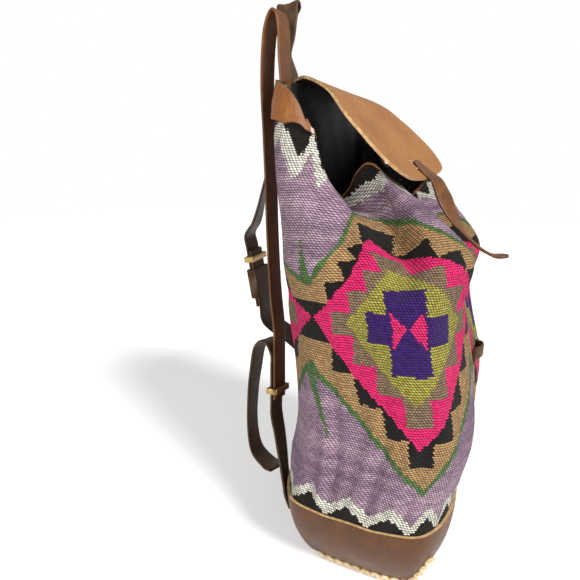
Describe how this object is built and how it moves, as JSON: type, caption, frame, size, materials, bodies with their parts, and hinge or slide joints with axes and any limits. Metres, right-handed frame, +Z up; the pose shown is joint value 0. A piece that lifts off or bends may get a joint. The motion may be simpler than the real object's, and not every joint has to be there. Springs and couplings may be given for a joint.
{
  "type": "kilim backpack",
  "caption": "Slouched backpack of woven kilim wool with a tan leather flap and collar, a brown leather base laced with rawhide, and leather shoulder straps.",
  "frame": {"origin": "middle of the base's floor", "axes": "+Z up; -Y is the front, which the flap droops over; +Y is the back with the shoulder straps"},
  "size_m": [0.2722, 0.2543, 0.5145],
  "materials": {
    "wool_weave": "coarse hand-woven wool with stepped diamonds",
    "black_lining": "plain black cotton with a slight sheen",
    "collar_leather": "burnished tan leather",
    "base_leather": "worn brown leather",
    "flap_leather": "pale tan vegetable-tanned leather",
    "strap_leather": "dark brown strap leather",
    "rawhide_lace": "plaited cream rawhide",
    "brass": "dull cast brass"
  },
  "bodies": {
    "bag": {"kilim_body": "wool_weave", "lining": "black_lining", "mouth_collar": "collar_leather", "base_strip": "base_leather", "base_end_near": "base_leather", "base_end_far": "base_leather", "edge_lacing_near": "rawhide_lace", "edge_lacing_far": "rawhide_lace", "front_keeper": "strap_leather", "near_upper_strap": "strap_leather", "far_upper_strap": "strap_leather", "near_lower_strap": "strap_leather", "far_lower_strap": "strap_leather", "near_strap_slide": "brass", "far_strap_slide": "brass", "far_strap_keeper": "strap_leather"},
    "flap_body": {"flap": "flap_leather", "closing_strap": "flap_leather"}
  },
  "joints": [
    {"name": "flap_hinge", "type": "hinge", "parent": "bag", "child": "flap_body", "pos_m": [0.0135, 0.0942, 0.4436], "axis": [-1, 0, 0], "range_deg": [0, 75]}
  ]
}
